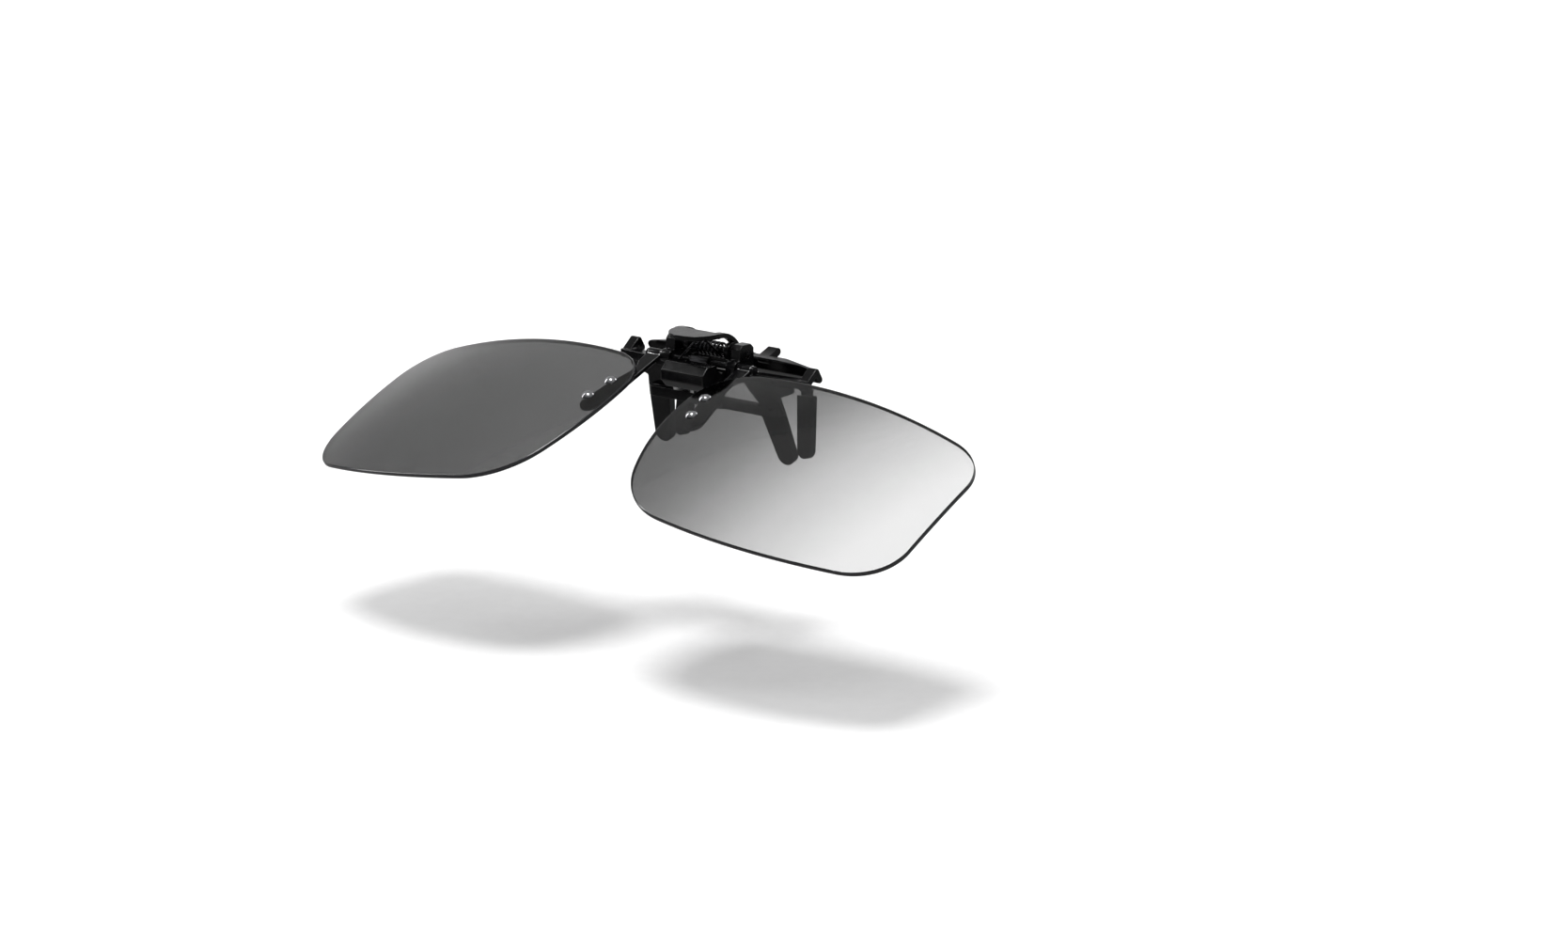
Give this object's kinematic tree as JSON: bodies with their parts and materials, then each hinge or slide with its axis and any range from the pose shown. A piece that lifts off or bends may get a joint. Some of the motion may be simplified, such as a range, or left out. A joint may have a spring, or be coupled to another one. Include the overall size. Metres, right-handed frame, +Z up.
{
  "type": "clip on flip lenses",
  "caption": "Rimless smoke lenses on a flip-up hinge, carried by a small sprung clamp with rubber-sleeved jaws that grips the bridge of a pair of spectacles.",
  "frame": {"origin": "midway between the tips of the front and rear jaw pads, in the middle of the clamp", "axes": "+X to the wearer's left, +Y back toward the wearer, +Z up as worn"},
  "size_m": [0.136, 0.0553, 0.0286],
  "materials": {
    "black_metal": "gloss black coating",
    "steel": "plain spring steel",
    "bright_screw": "polished dome",
    "sleeve": "smooth black silicone",
    "smoke_lens": "polished smoke grey",
    "gradient_lens": "polished, smoke grey fading to nearly clear"
  },
  "bodies": {
    "clamp_base": {"clamp_frame": "black_metal", "front_jaw": "black_metal", "hook_bar": "black_metal", "hinge_block": "black_metal", "detent_leaf": "steel", "frame_screws": "black_metal", "bar_rivets": "black_metal", "left_front_sleeve": "sleeve", "right_front_sleeve": "sleeve", "clamp_pin": "steel", "pin_spacers": "steel", "clamp_spring": "steel", "axle_washers": "steel"},
    "lens_flip": {"flip_axle": "black_metal", "detent_cam": "steel", "axle_caps": "black_metal", "left_arm": "black_metal", "right_arm": "black_metal", "left_lens": "smoke_lens", "right_lens": "gradient_lens", "left_lens_screws": "bright_screw", "right_lens_screws": "bright_screw", "left_screw_caps": "steel", "right_screw_caps": "steel"},
    "rear_jaw": {"rear_lever": "black_metal", "left_rear_sleeve": "sleeve", "right_rear_sleeve": "sleeve"}
  },
  "joints": [
    {"name": "lens_flip_hinge", "type": "hinge", "parent": "clamp_base", "child": "lens_flip", "pos_m": [0, -0.0098, 0.0163], "axis": [-1, 0, 0], "range_deg": [-72, 20]},
    {"name": "clamp_hinge", "type": "hinge", "parent": "clamp_base", "child": "rear_jaw", "pos_m": [0, -0.007, 0.0184], "axis": [1, 0, 0], "range_deg": [-5, 20], "stiffness_Nm_per_rad": 0.06, "deforming": ["clamp_spring"]}
  ]
}
